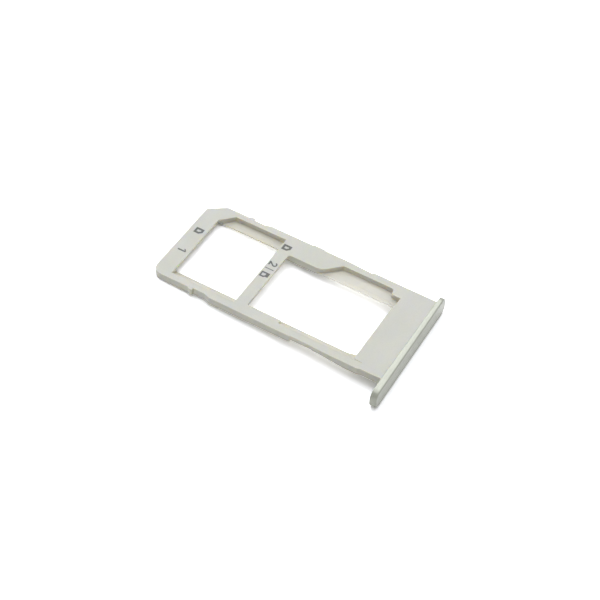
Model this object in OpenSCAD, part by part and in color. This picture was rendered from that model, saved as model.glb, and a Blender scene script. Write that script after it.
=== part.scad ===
// Card tray for a phone: a thin moulded frame with two card pockets, closed by a metal end bar.
// X runs along the tray with the end bar at +X, Y runs across it and Z is up.
// Inside the modules x is measured from the back face of the end bar and y from the near side of
// the frame; place() then puts the origin under the centre of the whole tray.

/* [Cards] */
// long side of a nano-SIM card
nano_l = 12.3; // [12:0.05:12.6]
// short side of a nano-SIM card
nano_w = 8.8; // [8.5:0.05:9.1]
// thickness of a nano-SIM card
nano_t = 0.67; // [0.6:0.01:0.75]
// size of the cut corner of a nano-SIM card
nano_cut = 1.65; // [1.2:0.05:2]
// length of a microSD card
sd_l = 15; // [14.6:0.05:15.4]
// width of the narrow contact end of a microSD card
sd_nose_w = 9.7; // [9.4:0.05:10]
// play of a card in its pocket, both sides together
card_play = 0.06; // [0.02:0.01:0.12]
// play of a nano-SIM along the tray in the inner pocket
inner_play = 0.3; // [0.05:0.05:0.4]
// play of a microSD along the tray in the outer pocket
outer_play = 0.16; // [0.04:0.02:0.3]

/* [Frame] */
// outer width over the two rails
frame_w = 14.4; // [14.1:0.05:15]
// full thickness of the rails
frame_t = 1.15; // [1.1:0.05:1.6]
// width of the bar at the inner end of the tray
end_bar_w = 2.35; // [2:0.05:3.5]
// width of the bar between the two pockets
mid_bar_w = 1.6; // [1.2:0.05:2.5]
// thickness of the bar between the two pockets
mid_bar_t = 0.4; // [0.3:0.05:0.6]
// thickness of the bar at the inner end beside its pocket
end_bar_t = 0.4; // [0.3:0.05:0.6]
// length of the solid plate beside the end bar
plate_l = 4.3; // [3.5:0.05:6]
// width of the near rail beside the pockets
near_rail_w = 1.05; // [0.8:0.05:1.2]
// radius of the near inner corner
corner_r = 1.2; // [0.8:0.1:1.9]
// length along the tray of the slanted far corner
corner_cut_x = 2.25; // [1:0.05:3]
// width across the tray of the slanted far corner
corner_cut_y = 1.75; // [1:0.05:3]
// width of the full-depth rim along the inner end
end_rim_w = 1; // [0.6:0.05:1.5]

/* [Ledges] */
// thickness of the ledges that carry the cards
ledge_t = 0.2; // [0.2:0.05:0.35]
// width of the near ledge
near_ledge_w = 1; // [0.5:0.05:1.3]
// width of the far ledge in the inner pocket
far_ledge_w = 1.35; // [0.8:0.05:2]
// radius of the near ledge where it runs into the plate
ledge_r = 3.2; // [2:0.1:5]
// length of that rounded stretch
ledge_r_l = 1.65; // [1:0.05:1.9]
// width of the lower step on the far ledge of the outer pocket
step_w = 0.5; // [0.3:0.05:0.8]
// depth of that step
step_d = 0.05; // [0.03:0.01:0.15]
// length of that step
step_l = 7.3; // [5:0.1:8]

/* [Card shape of the outer pocket] */
// how much further in the near wall stands beside the narrow end of the microSD
nose_in = 0.55; // [0.3:0.05:0.8]
// length of that narrow stretch
nose_l = 4.75; // [4:0.05:5.5]
// radius where the far wall turns into the slanted shoulder
shoulder_r = 2; // [1:0.1:2.4]
// radius of the narrow pocket's inner far corner
nose_r = 0.4; // [0.2:0.05:0.8]
// length along the tray of the key in the far corner by the plate
key_x = 1.15; // [0.8:0.05:1.5]
// width across the tray of that key
key_y = 0.9; // [0.8:0.05:1.6]
// radius on the corners of the key
key_r = 0.4; // [0.1:0.05:0.4]
// how far the pocket reaches into the plate beside the key
key_gap = 0.2; // [0.1:0.05:0.4]
// how far that slot runs on past the far ledge
key_gap_run = 0.55; // [0.2:0.05:0.8]

/* [Rail sides] */
// distance of the near catch notch from the end bar
notch_x = 24.85; // [23:0.05:26]
// distance of the far catch notch from the end bar
far_notch_x = 24.6; // [23:0.05:26]
// length of a notch floor
notch_l = 1.7; // [1:0.05:2.5]
// depth of the notches
notch_d = 0.26; // [0.15:0.01:0.35]
// length of the ramp into a notch
notch_ramp = 0.75; // [0.5:0.05:2]
// length of the nub behind a notch
nub_l = 0.35; // [0.2:0.05:0.6]
// how far the nub stands out from the rail
nub_h = 0.06; // [0.03:0.01:0.15]
// how far the rail steps in behind the nub
tip_in = 0.14; // [0.05:0.01:0.25]
// how far the near rail steps in beside the end bar
heel_in = 0.16; // [0.05:0.01:0.25]
// length of that stretch
heel_l = 2.85; // [2:0.05:3.5]
// distance of the shallow near relief from the end bar
relief_x = 9.3; // [7:0.05:11]
// length of the near relief
relief_l = 3.1; // [2:0.05:5]
// depth of the near relief
relief_d = 0.08; // [0.04:0.01:0.15]
// length of the small slopes on the rail sides
slope_l = 0.35; // [0.2:0.05:0.5]
// distance of the far dip from the end bar
dip_x = 8.7; // [6:0.05:10]
// length of the far dip, which runs out in a long slope
dip_l = 3.6; // [3:0.05:5]
// depth of the far dip
dip_d = 0.2; // [0.1:0.01:0.3]
// distance of the far hump from the end bar
hump_x = 15.75; // [14:0.05:17]
// length of the far hump
hump_l = 1.7; // [1:0.05:3]
// height of the far hump
hump_h = 0.12; // [0.05:0.01:0.2]

/* [Underside and top] */
// distance of the scoop under the near rail from the end bar
scoop_x = 5.2; // [4:0.05:6]
// length of the scoop
scoop_l = 7.35; // [5:0.05:9]
// length of the slope at its end by the end bar
scoop_slope = 3.2; // [1:0.05:4]
// height of the scoop
scoop_h = 0.4; // [0.2:0.05:0.5]
// distance of the witness groove from the end bar
groove_x = 3.15; // [1:0.05:3.5]
// length of the witness groove
groove_l = 1.4; // [0.8:0.05:2]
// width of the witness groove
groove_w = 0.1; // [0.08:0.01:0.2]
// depth of the witness groove
groove_d = 0.05; // [0.05:0.01:0.2]

/* [End bar] */
// height of the end bar
bar_h = 2.8; // [2.4:0.05:3.2]
// thickness at its near end
bar_t_near = 0.87; // [0.75:0.01:1.2]
// thickness at its far end
bar_t_far = 0.6; // [0.55:0.01:1.2]
// how far it stands out past the near rail
bar_near_over = 2.6; // [1.5:0.05:3]
// how far it stands out past the far rail
bar_far_over = 1.35; // [0.5:0.05:2]
// how far its top stands above the frame
bar_rise = 0.2; // [0:0.05:0.5]
// radius of its corners seen from the front
bar_r = 1.05; // [0.6:0.05:1.1]
// radius of the rounded front edge
bar_edge_r = 0.15; // [0.1:0.01:0.3]

/* [Joint] */
// length of the frame's tongue in the end bar
tongue_l = 0.3; // [0.15:0.05:0.35]
// width of the tongue
tongue_w = 11; // [8:0.1:12.5]
// thickness of the tongue
tongue_t = 0.6; // [0.4:0.05:0.8]

/* [Hidden] */
$fn = 64;

over = 0.5;                                   // cuts run this far past a face
pocket_d = nano_t + card_play;                // a card lies just under the top face
frame_top = bar_h - bar_rise;                 // heights above the ground
frame_bottom = frame_top - frame_t;
ledge_top = frame_top - pocket_d;

sim_w = nano_w + inner_play;                  // pocket sizes
sim_l = nano_l + card_play;
sd_pocket_l = sd_l + outer_play;
sd_nose_pocket_w = sd_nose_w + card_play;

frame_l = plate_l + sd_pocket_l + mid_bar_w + sim_w + end_bar_w;
outer_x0 = -plate_l;                          // outer pocket, from the plate inwards
outer_x1 = outer_x0 - sd_pocket_l;
inner_x0 = outer_x1 - mid_bar_w;              // inner pocket
inner_x1 = inner_x0 - sim_w;
near_y = near_rail_w;                         // walls of the card pockets
far_y = near_y + sim_l;
nose_near_y = near_y + nose_in;
nose_far_y = nose_near_y + sd_nose_pocket_w;
nose_x = outer_x1 + nose_l;
near_ledge_y = near_y + near_ledge_w;
far_ledge_y = far_y - far_ledge_w;

bar_l = frame_w + bar_near_over + bar_far_over;
bar_skew = atan((bar_t_near - bar_t_far) / bar_l);

// puts the origin under the centre of the whole tray
module place() {
    translate([(frame_l - bar_t_near) / 2, (bar_near_over - bar_far_over - frame_w) / 2, 0])
        children();
}

// one side of the frame as points [x, distance in from the rail's face], from the end bar inwards
function catch_side(x) = [
    [-x + notch_ramp, 0],
    [-x, notch_d],
    [-x - notch_l, notch_d],
    [-x - notch_l, -nub_h],
    [-x - notch_l - nub_l, -nub_h],
    [-x - notch_l - nub_l - slope_l, tip_in],
];
function near_side() = concat([
    [0, heel_in],
    [-heel_l, heel_in],
    [-heel_l - slope_l, 0],
    [-relief_x, 0],
    [-relief_x - slope_l, relief_d],
    [-relief_x - relief_l, relief_d],
    [-relief_x - relief_l - slope_l, 0],
], catch_side(notch_x), [[-frame_l, tip_in]]);
function far_side() = concat([
    [0, 0],
    [-dip_x, 0],
    [-dip_x - slope_l, dip_d],
    [-dip_x - dip_l, 0],
    [-hump_x, 0],
    [-hump_x - slope_l, -hump_h],
    [-hump_x - hump_l, -hump_h],
    [-hump_x - hump_l - slope_l, 0],
], catch_side(far_notch_x), [
    [-frame_l + corner_cut_x, tip_in],
    [-frame_l, corner_cut_y],
]);

module frame_outline() {
    near = near_side();
    far = far_side();
    last = len(far) - 1;
    difference() {
        polygon(concat(near, [for (i = [last:-1:0]) [far[i][0], frame_w - far[i][1]]]));
        translate([-frame_l, tip_in]) inner_corner(corner_r);
    }
}

// what a round of radius r takes off a corner at the origin that opens towards +x +y
module inner_corner(r) {
    difference() {
        translate([-over, -over]) square(r + over);
        translate([r, r]) circle(r);
    }
}

// nano-SIM across the tray, with its cut corner at the far inner end
module inner_pocket() {
    polygon([
        [inner_x0, near_y],
        [inner_x0, far_y],
        [inner_x1 + nano_cut, far_y],
        [inner_x1, far_y - nano_cut],
        [inner_x1, near_y],
    ]);
}

// nano-SIM across the tray or microSD along it, in one outline
module outer_pocket() {
    shoulder = far_y - nose_far_y;
    bend = shoulder_r * tan(22.5);
    difference() {
        union() {
            polygon([
                [outer_x0, near_y],
                [outer_x0, far_y],
                [nose_x + shoulder, far_y],
                [nose_x, nose_far_y],
                [outer_x1, nose_far_y],
                [outer_x1, nose_near_y],
                [nose_x, nose_near_y],
                [nose_x, near_y],
            ]);
            difference() {
                polygon([
                    [nose_x - bend, nose_far_y],
                    [nose_x, nose_far_y],
                    [nose_x + bend * cos(45), nose_far_y + bend * sin(45)],
                ]);
                translate([nose_x - bend, nose_far_y + shoulder_r]) circle(shoulder_r);
            }
        }
        translate([outer_x1, nose_far_y]) mirror([0, 1]) inner_corner(nose_r);
        key();
    }
    translate([outer_x0 - over, nose_far_y - key_gap_run])
        square([over + key_gap, far_y - key_y - nose_far_y + key_gap_run]);
}

// rounded key that fills the far corner by the plate, for the card's cut corner
module key() {
    translate([outer_x0 - key_x, far_y - key_y]) {
        translate([key_r, 0]) square([key_x + over - key_r, key_y + over]);
        translate([0, key_r]) square([key_x + over, key_y + over - key_r]);
        translate([key_r, key_r]) circle(key_r);
    }
    translate([outer_x0 - key_x, far_y]) rotate(180) inner_corner(key_r);
}

// the walls stand the full depth round the two pockets, over a relieved middle bar and end bar
module walls() {
    difference() {
        translate([0, 0, frame_bottom]) linear_extrude(frame_t) difference() {
            frame_outline();
            inner_pocket();
            outer_pocket();
        }
        translate([inner_x0 - over, near_ledge_y, frame_bottom - over])
            cube([mid_bar_w + 2 * over, nose_far_y - near_ledge_y, frame_t - mid_bar_t + over]);
        translate([-frame_l + end_rim_w, near_ledge_y, frame_bottom - over])
            cube([end_bar_w - end_rim_w + over, far_ledge_y - near_ledge_y,
                  frame_t - end_bar_t + over]);
        scoop();
        translate([-groove_x - groove_l, near_y - groove_w / 2, frame_top - groove_d])
            cube([groove_l, groove_w, groove_d + over]);
    }
}

// cut under the near rail, steep at its inner end and sloping out towards the end bar
module scoop() {
    translate([0, near_y, 0]) rotate([90, 0, 0]) linear_extrude(near_y + over) polygon([
        [-scoop_x, frame_bottom],
        [-scoop_x - scoop_slope, frame_bottom + scoop_h],
        [-scoop_x - scoop_l, frame_bottom + scoop_h],
        [-scoop_x - scoop_l, frame_bottom - over],
        [-scoop_x, frame_bottom - over],
    ]);
}

module ledges() {
    bite = near_y / 2;                        // each ledge runs this far into its rail
    far_bite = (frame_w - far_y) / 2;
    difference() {
        translate([0, 0, ledge_top - ledge_t]) linear_extrude(ledge_t) {
            translate([inner_x1 - bite, near_y - bite])
                square([sim_w + bite + mid_bar_w / 2, near_ledge_w + bite]);
            translate([inner_x1 + bite, far_ledge_y])
                square([sim_w - bite + mid_bar_w / 2, far_ledge_w + far_bite]);
            translate([outer_x1 - mid_bar_w / 2, near_y - bite])
                square([sd_pocket_l + mid_bar_w / 2 + bite, near_ledge_w + bite]);
            translate([nose_x - bite, nose_far_y])
                square([outer_x0 - nose_x + 2 * bite, far_y - nose_far_y + far_bite]);
            ledge_root();
        }
        translate([outer_x0 - step_l, nose_far_y - over, ledge_top - step_d])
            cube([step_l, step_w + over, step_d + over]);
    }
}

// the near ledge widens in a long arc before it meets the plate
module ledge_root() {
    rise = ledge_r - sqrt(pow(ledge_r, 2) - pow(ledge_r_l, 2));
    difference() {
        translate([outer_x0 - ledge_r_l, near_ledge_y - near_ledge_w / 2])
            square([ledge_r_l + near_y / 2, rise + near_ledge_w / 2]);
        translate([outer_x0 - ledge_r_l, near_ledge_y + ledge_r]) circle(ledge_r);
    }
}

module tongue(length) {
    translate([-over, (frame_w - tongue_w) / 2, frame_top - frame_t / 2 - tongue_t / 2])
        cube([length + over, tongue_w, tongue_t]);
}

module tray_frame() {
    color([0.83, 0.83, 0.8]) place() {
        walls();
        ledges();
        tongue(tongue_l);
    }
}

// section with its two top corners rounded, from x = 0 to width and from y = -depth to 0
module soft_section(width, depth) {
    translate([0, -depth]) square([width, depth - bar_edge_r]);
    translate([bar_edge_r, -depth]) square([width - 2 * bar_edge_r, depth]);
    for (x = [bar_edge_r, width - bar_edge_r]) translate([x, -bar_edge_r]) circle(bar_edge_r);
}

// the end bar laid on its back: length on x, height on y, its rounded front face at z = 0
module bar_blank(depth) {
    for (x = [bar_r, bar_l - bar_r], y = [bar_r, bar_h - bar_r])
        translate([x, y, 0]) rotate_extrude() intersection() {
            translate([-bar_r, 0]) soft_section(2 * bar_r, depth);
            translate([0, -depth]) square([bar_r, depth]);
        }
    translate([bar_r, 0, 0]) rotate([90, 0, 90]) linear_extrude(bar_l - 2 * bar_r)
        soft_section(bar_h, depth);
    translate([0, bar_h - bar_r, 0]) rotate([90, 0, 0]) linear_extrude(bar_h - 2 * bar_r)
        soft_section(bar_l, depth);
}

module head_bar() {
    color([0.86, 0.88, 0.84]) place() difference() {
        intersection() {
            translate([bar_t_near, -bar_near_over, 0]) rotate([0, 0, bar_skew])
                rotate([90, 0, 90]) bar_blank(2 * bar_t_near);
            translate([0, -bar_near_over - over, -over])
                cube([2 * bar_t_near, bar_l + 2 * over, bar_h + 2 * over]);
        }
        tongue(tongue_l);
    }
}

tray_frame();
head_bar();
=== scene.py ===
import math

import bmesh
import bpy
from mathutils import Matrix, Vector


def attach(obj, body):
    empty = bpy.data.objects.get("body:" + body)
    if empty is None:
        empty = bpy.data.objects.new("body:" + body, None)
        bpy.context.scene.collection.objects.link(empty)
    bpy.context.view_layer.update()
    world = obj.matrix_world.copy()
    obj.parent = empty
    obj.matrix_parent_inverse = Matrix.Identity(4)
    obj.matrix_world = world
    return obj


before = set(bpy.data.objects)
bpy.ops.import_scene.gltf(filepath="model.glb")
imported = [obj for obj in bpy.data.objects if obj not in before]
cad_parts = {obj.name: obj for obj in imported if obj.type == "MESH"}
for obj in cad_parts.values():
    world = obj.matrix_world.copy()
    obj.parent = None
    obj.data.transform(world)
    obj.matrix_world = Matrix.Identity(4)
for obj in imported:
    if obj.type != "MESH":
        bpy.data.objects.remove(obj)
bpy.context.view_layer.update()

MM = 0.001
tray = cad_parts["tray_frame"]
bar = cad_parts["head_bar"]

# The camera of the photograph, fitted to the part's own dimensions.
CAMERA_AT = Vector((63.145, -114.37, 149.99)) * MM
CAMERA_AZIMUTH = 118.555        # degrees from +X towards +Y
CAMERA_DOWN = 48.774            # degrees below the horizon
CAMERA_ROLL = 2.871             # degrees
CAMERA_LENS = 96.037            # mm on a sensor of SENSOR_WIDTH
SENSOR_WIDTH = 36

# Heights and places on the tray that the marks and the floor need, in mm.
BAR_BACK_X = 15.82
INNER_END_X = -16.69
INNER_BAR_X = -15.375
MIDDLE_BAR_X = -4.455
FRAME_BOTTOM = 1.45
FRAME_TOP = 2.6

# Boxes round the thin ledges, in mm, and the share of light that each lets through.
LEDGES = (
    ((-14.33, -5.5, 1.6), (11.5, -4.5, 1.88), 0.35),
    ((-14.33, 5.5, 1.6), (-5.25, 6.8, 1.88), 0.65),
    ((1.15, 4.7, 1.6), (11.7, 6.8, 1.88), 0.65),
)

# Colours of the materials, as sRGB values from 0 to 255. Pairs cloud into each other.
PLASTIC = (209, 209, 201), (205, 206, 198)
PLASTIC_GRAIN = (196, 197, 189)
# painted light: a warm tint for the corners of the pockets, standing in for scattered and bounced
# light
PAINTED_CORNER_WARMTH = (234, 227, 202)
LEDGE_GLOW = (238, 238, 237)
METAL = (164, 167, 155), (158, 161, 149)
INK = (104, 105, 101), (118, 119, 114)

# The plastic lets light scatter this far in, in metres, and its colours not alike.
SCATTER = 0.0004
SCATTER_BY_COLOUR = (1.0, 0.8, 0.35)
PAINTED_CORNER_REACH = 0.0009           # m, how far from a corner of a pocket the painted warm tint reaches

# The floor's colour as it lights the tray and, past 1, as it is seen: white.
FLOOR_HALF = 0.6                # m
FLOOR_COLOUR = (0.91, 0.89, 0.82, 1)
FLOOR_SEEN = (1.72, 1.72, 1.77, 1)
FLOOR_GLOW = 0.04
WORLD_LEVEL = 0.36
WORLD_SEEN = 1.0

# Printed marks, in mm.
INK_THICKNESS = 0.008
GLYPH_H = 1.15


# ---------------------------------------------------------------- camera

def make_camera():
    azimuth, down, roll = (math.radians(a) for a in (CAMERA_AZIMUTH, CAMERA_DOWN, CAMERA_ROLL))
    forward = Vector((
        math.cos(azimuth) * math.cos(down),
        math.sin(azimuth) * math.cos(down),
        -math.sin(down),
    ))
    right = forward.cross(Vector((0, 0, 1))).normalized()
    up = right.cross(forward)
    level = Matrix((right, up, -forward)).transposed()
    data = bpy.data.cameras.new("camera")
    data.sensor_width = SENSOR_WIDTH
    data.lens = CAMERA_LENS
    data.clip_start = 0.005
    data.clip_end = 5
    camera = bpy.data.objects.new("camera", data)
    bpy.context.scene.collection.objects.link(camera)
    turned = level @ Matrix.Rotation(roll, 3, "Z")
    camera.matrix_world = Matrix.Translation(CAMERA_AT) @ turned.to_4x4()
    bpy.context.scene.camera = camera


# ---------------------------------------------------------------- nodes

class Graph:
    """A small helper that adds nodes and joins their sockets."""

    def __init__(self, tree):
        self.tree = tree
        tree.nodes.clear()

    def add(self, kind, settings=None, **inputs):
        node = self.tree.nodes.new(kind)
        for key, value in (settings or {}).items():
            setattr(node, key, value)
        for key, value in inputs.items():
            self.put(node.inputs[key.replace("_", " ")], value)
        return node

    def put(self, socket, value):
        if isinstance(value, bpy.types.NodeSocket):
            self.tree.links.new(value, socket)
        else:
            socket.default_value = value

    def here(self):
        """The place on the object, in metres."""
        return self.add("ShaderNodeTexCoord").outputs["Object"]

    def noise(self, where, scale, detail=2.0, roughness=0.5):
        node = self.add("ShaderNodeTexNoise", Vector=where, Scale=scale, Detail=detail,
                        Roughness=roughness)
        return node.outputs["Fac"]

    def spread(self, value, low, high, to_low, to_high):
        node = self.add("ShaderNodeMapRange", Value=value)
        for name, number in (("From Min", low), ("From Max", high),
                             ("To Min", to_low), ("To Max", to_high)):
            node.inputs[name].default_value = number
        return node.outputs["Result"]

    def blend(self, factor, a, b):
        node = self.add("ShaderNodeMix", {"data_type": "RGBA"})
        self.put(node.inputs[0], factor)
        self.put(node.inputs[6], a)
        self.put(node.inputs[7], b)
        return node.outputs[2]

    def maths(self, operation, a, b):
        node = self.add("ShaderNodeMath", {"operation": operation})
        self.put(node.inputs[0], a)
        self.put(node.inputs[1], b)
        return node.outputs[0]

    def inside(self, where, low, high):
        """1 inside the box between two corners in mm, 0 outside it."""
        split = self.add("ShaderNodeSeparateXYZ", Vector=where)
        result = 1.0
        for axis in range(3):
            value = split.outputs[axis]
            above = self.maths("GREATER_THAN", value, low[axis] * MM)
            below = self.maths("LESS_THAN", value, high[axis] * MM)
            result = self.maths("MULTIPLY", result, self.maths("MULTIPLY", above, below))
        return result

    def seen(self):
        """1 where the background is looked at, straight, mirrored or through glass."""
        path = self.add("ShaderNodeLightPath").outputs
        seen = self.maths("MAXIMUM", path["Is Camera Ray"], path["Is Glossy Ray"])
        return self.maths("MAXIMUM", seen, path["Is Transmission Ray"])

    def normal(self, edge, strength, distance, height):
        """Softened edges with a fine relief on them."""
        soft = self.add("ShaderNodeBevel", {"samples": 6}, Radius=edge)
        bump = self.add("ShaderNodeBump", Strength=strength, Distance=distance, Height=height,
                        Normal=soft.outputs["Normal"])
        return bump.outputs["Normal"]


def material(name):
    made = bpy.data.materials.new(name)
    made.use_nodes = True
    return made, Graph(made.node_tree)


def linear(red, green, blue):
    """An sRGB colour from 0 to 255 as the linear colour that a shader takes."""
    def one(value):
        value /= 255
        return value / 12.92 if value <= 0.04045 else ((value + 0.055) / 1.055) ** 2.4
    return (one(red), one(green), one(blue), 1)


# ---------------------------------------------------------------- materials

def moulded_plastic():
    made, g = material("moulded_plastic")
    where = g.here()
    cloud = g.noise(where, 260, 3, 0.6)
    grain = g.noise(where, 9000, 2, 0.6)
    base = g.blend(g.spread(cloud, 0.3, 0.7, 0, 1), *(linear(*shade) for shade in PLASTIC))
    base = g.blend(g.spread(grain, 0.35, 0.65, 0, 0.35), base, linear(*PLASTIC_GRAIN))
    # painted light: a warm tint is painted into the corners of the pockets, standing in for light
    # that scatters and bounces in the plastic there
    painted_corner_ao = g.add("ShaderNodeAmbientOcclusion", {"samples": 8, "only_local": True},
                 Distance=PAINTED_CORNER_REACH)
    base = g.blend(g.spread(painted_corner_ao.outputs["AO"], 0.95, 0.4, 0, 0.65),
                   base, linear(*PAINTED_CORNER_WARMTH))
    shader = g.add("ShaderNodeBsdfPrincipled", Base_Color=base,
                   Roughness=g.spread(cloud, 0.3, 0.7, 0.46, 0.56),
                   Normal=g.normal(0.00007, 0.25, 0.00001, grain))
    shader.inputs["Specular IOR Level"].default_value = 0.4
    shader.inputs["Subsurface Weight"].default_value = 1.0
    shader.inputs["Subsurface Radius"].default_value = SCATTER_BY_COLOUR
    shader.inputs["Subsurface Scale"].default_value = SCATTER
    # the thin ledges under the cards let light through to the floor
    thin = 0.0
    for low, high, share in LEDGES:
        here = g.maths("MULTIPLY", g.inside(where, low, high), share)
        thin = g.maths("MAXIMUM", thin, here)
    through = g.add("ShaderNodeBsdfTranslucent", Color=linear(*LEDGE_GLOW))
    both = g.add("ShaderNodeMixShader", Fac=thin)
    g.put(both.inputs[1], shader.outputs[0])
    g.put(both.inputs[2], through.outputs[0])
    g.add("ShaderNodeOutputMaterial", Surface=both.outputs[0])
    return made


def satin_metal():
    made, g = material("satin_metal")
    where = g.here()
    cloud = g.noise(where, 300, 3, 0.6)
    blast = g.noise(where, 14000, 2, 0.55)
    base = g.blend(g.spread(cloud, 0.3, 0.7, 0, 1), *(linear(*shade) for shade in METAL))
    shader = g.add("ShaderNodeBsdfPrincipled", Base_Color=base, Metallic=0.2,
                   Roughness=g.spread(blast, 0.3, 0.7, 0.26, 0.36),
                   Normal=g.normal(0.00005, 0.2, 0.000008, blast))
    g.add("ShaderNodeOutputMaterial", Surface=shader.outputs[0])
    return made


def print_ink():
    made, g = material("print_ink")
    grain = g.noise(g.here(), 16000, 2, 0.6)
    base = g.blend(g.spread(grain, 0.35, 0.65, 0, 1), *(linear(*shade) for shade in INK))
    shader = g.add("ShaderNodeBsdfPrincipled", Base_Color=base,
                   Roughness=g.spread(grain, 0.3, 0.7, 0.5, 0.65))
    shader.inputs["Specular IOR Level"].default_value = 0.3
    g.add("ShaderNodeOutputMaterial", Surface=shader.outputs[0])
    return made


def dress(obj, made):
    obj.data.materials.clear()
    obj.data.materials.append(made)


# ---------------------------------------------------------------- printed marks

def prism(bm, outline, low, high):
    """A flat plate from a 2D outline given counterclockwise."""
    bottom = [bm.verts.new((x, y, low)) for x, y in outline]
    top = [bm.verts.new((x, y, high)) for x, y in outline]
    count = len(outline)
    bm.faces.new(top)
    bm.faces.new(list(reversed(bottom)))
    for i in range(count):
        j = (i + 1) % count
        bm.faces.new((bottom[i], bottom[j], top[j], top[i]))


def band(bm, outer, inner, low, high):
    """A flat plate between two outlines with the same number of points."""
    rings = [[bm.verts.new((x, y, z)) for x, y in line]
             for line, z in ((outer, low), (outer, high), (inner, high), (inner, low))]
    count = len(outer)
    for i in range(count):
        j = (i + 1) % count
        for a, b in zip(rings, rings[1:] + rings[:1]):
            bm.faces.new((a[i], a[j], b[j], b[i]))


def stroke(path, width):
    """The outline of an open line drawn with a square pen."""
    left, right = [], []
    for i, point in enumerate(path):
        before = Vector(path[max(i - 1, 0)])
        after = Vector(path[min(i + 1, len(path) - 1)])
        here = Vector(point)
        into = (here - before).normalized() if i else (after - here).normalized()
        out = (after - here).normalized() if i < len(path) - 1 else into
        along = (into + out).normalized()
        across = Vector((-along.y, along.x))
        reach = width / 2 / max(across.dot(Vector((-into.y, into.x))), 0.5)
        left.append(tuple(here + across * reach))
        right.append(tuple(here - across * reach))
    return right + left[::-1]


def arc(cx, cy, radius, start, stop, steps):
    """Points on an arc between two angles in degrees."""
    angles = [math.radians(start + (stop - start) * k / steps) for k in range(steps + 1)]
    return [(cx + radius * math.cos(a), cy + radius * math.sin(a)) for a in angles]


def card_outline(width, height, cut, inset=0.0):
    """A card with its top right corner cut off, set in by inset on every side."""
    low, right, top = inset, width - inset, height - inset
    slant = cut - inset * (2 - math.sqrt(2))
    return [(low, low), (right, low), (right, top - slant), (right - slant, top), (low, top)]


def glyph_card(bm, low, high):
    """A card with one cut corner, as a heavy outline."""
    width, height, cut, line = 0.95, GLYPH_H, 0.38, 0.3
    band(bm, card_outline(width, height, cut), card_outline(width, height, cut, line),
         low, high)


def glyph_one(bm, low, high):
    stem, line = 0.28, 0.2
    prism(bm, [(stem, 0), (stem + line, 0), (stem + line, GLYPH_H), (stem + 0.02, GLYPH_H),
               (0.0, GLYPH_H - 0.24), (0.0, GLYPH_H - 0.42), (stem, GLYPH_H - 0.2)], low, high)


def glyph_two(bm, low, high):
    line, radius = 0.19, 0.27
    top = GLYPH_H - radius - line / 2
    path = arc(0.35, top, radius, 170, -35, 10)
    path += [(0.12, line / 2)]
    prism(bm, stroke(path, line), low, high)
    prism(bm, [(0.03, 0), (0.68, 0), (0.68, line), (0.03, line)], low, high)


def glyph_bar(bm, low, high):
    """The upright line between two marks."""
    line, past = 0.11, 0.05
    prism(bm, [(0, -past), (line, -past), (line, GLYPH_H + past), (0, GLYPH_H + past)],
          low, high)


def glyph_small_card(bm, low, high):
    """A narrow memory card: a notched silhouette with a light window."""
    outer = [(0, 0), (0.9, 0), (0.9, 0.62), (0.72, 0.8), (0.72, GLYPH_H), (0, GLYPH_H)]
    inner = [(0.22, 0.2), (0.68, 0.2), (0.68, 0.54), (0.54, 0.68), (0.54, 0.72), (0.22, 0.72)]
    band(bm, outer, inner, low, high)


def print_mark(name, parts, bar_x, ink):
    """Marks on a bar, read from the far rail to the near one with their tops to the end bar."""
    bm = bmesh.new()
    for draw, y in parts:
        first = len(bm.verts)
        draw(bm, 0.0, INK_THICKNESS)
        bm.verts.ensure_lookup_table()
        for v in bm.verts[first:]:
            gx, gy, gz = v.co
            v.co = Vector((bar_x - GLYPH_H / 2 + gy, y - gx, FRAME_TOP + gz)) * MM
    bmesh.ops.recalc_face_normals(bm, faces=bm.faces)
    mesh = bpy.data.meshes.new(name)
    bm.to_mesh(mesh)
    bm.free()
    made = bpy.data.objects.new(name, mesh)
    bpy.context.scene.collection.objects.link(made)
    dress(made, ink)
    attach(made, "root")


# ---------------------------------------------------------------- floor and light

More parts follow.
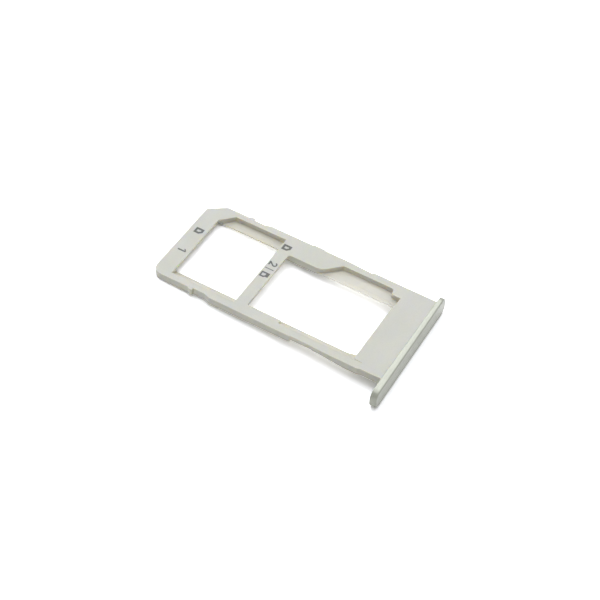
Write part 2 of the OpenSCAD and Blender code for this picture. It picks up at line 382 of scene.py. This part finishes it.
def make_floor():
    """The tray rests on the lower edge of its end bar and on its inner end, so the floor leans."""
    rise = FRAME_BOTTOM / (INNER_END_X - BAR_BACK_X)
    corners = [(x, y, (x - BAR_BACK_X * MM) * rise) for x, y in (
        (-FLOOR_HALF, -FLOOR_HALF), (FLOOR_HALF, -FLOOR_HALF),
        (FLOOR_HALF, FLOOR_HALF), (-FLOOR_HALF, FLOOR_HALF),
    )]
    mesh = bpy.data.meshes.new("floor")
    mesh.from_pydata(corners, [], [(0, 1, 2, 3)])
    floor = bpy.data.objects.new("floor", mesh)
    bpy.context.scene.collection.objects.link(floor)
    made, g = material("floor_white")
    seen = g.seen()
    diffuse = g.add("ShaderNodeBsdfDiffuse", Color=g.blend(seen, FLOOR_COLOUR, FLOOR_SEEN))
    glow = g.add("ShaderNodeEmission", Color=(1, 1, 1, 1),
                 Strength=g.maths("MULTIPLY", seen, FLOOR_GLOW))
    both = g.add("ShaderNodeAddShader")
    g.put(both.inputs[0], diffuse.outputs[0])
    g.put(both.inputs[1], glow.outputs[0])
    g.add("ShaderNodeOutputMaterial", Surface=both.outputs[0])
    mesh.materials.append(made)


def make_world():
    world = bpy.data.worlds.new("studio")
    bpy.context.scene.world = world
    world.use_nodes = True
    g = Graph(world.node_tree)
    level = g.add("ShaderNodeMix", {"data_type": "FLOAT"})
    g.put(level.inputs[0], g.seen())
    level.inputs[2].default_value = WORLD_LEVEL
    level.inputs[3].default_value = WORLD_SEEN
    back = g.add("ShaderNodeBackground", Color=(1, 1, 1, 1), Strength=level.outputs[0])
    g.add("ShaderNodeOutputWorld", Surface=back.outputs[0])


def area_light(name, at, side, power, colour=(1, 1, 1)):
    """A square lamp that looks at the tray, in metres and watts."""
    data = bpy.data.lights.new(name, "AREA")
    data.shape = "RECTANGLE"
    data.size = data.size_y = side
    data.energy = power
    data.color = colour
    lamp = bpy.data.objects.new(name, data)
    bpy.context.scene.collection.objects.link(lamp)
    lamp.location = Vector(at)
    lamp.rotation_mode = "QUATERNION"
    lamp.rotation_quaternion = (-lamp.location).to_track_quat("-Z", "Y")


# ---------------------------------------------------------------- the scene

bpy.context.scene.view_settings.view_transform = "Standard"
make_camera()
make_floor()
make_world()
area_light("overhead", (-0.08, 0.10, 0.45), 0.5, 1.75, (0.967, 0.978, 1))
area_light("rim", (-0.19, 0.35, 0.45), 0.2, 0.5)

dress(tray, moulded_plastic())
dress(bar, satin_metal())

ink = print_ink()
print_mark("marks_inner_bar", [(glyph_card, 2.7), (glyph_one, -1.35)], INNER_BAR_X, ink)
print_mark(
    "marks_middle_bar",
    [(glyph_card, 6.15), (glyph_two, 2.75), (glyph_bar, 1.5), (glyph_small_card, 0.75)],
    MIDDLE_BAR_X,
    ink,
)
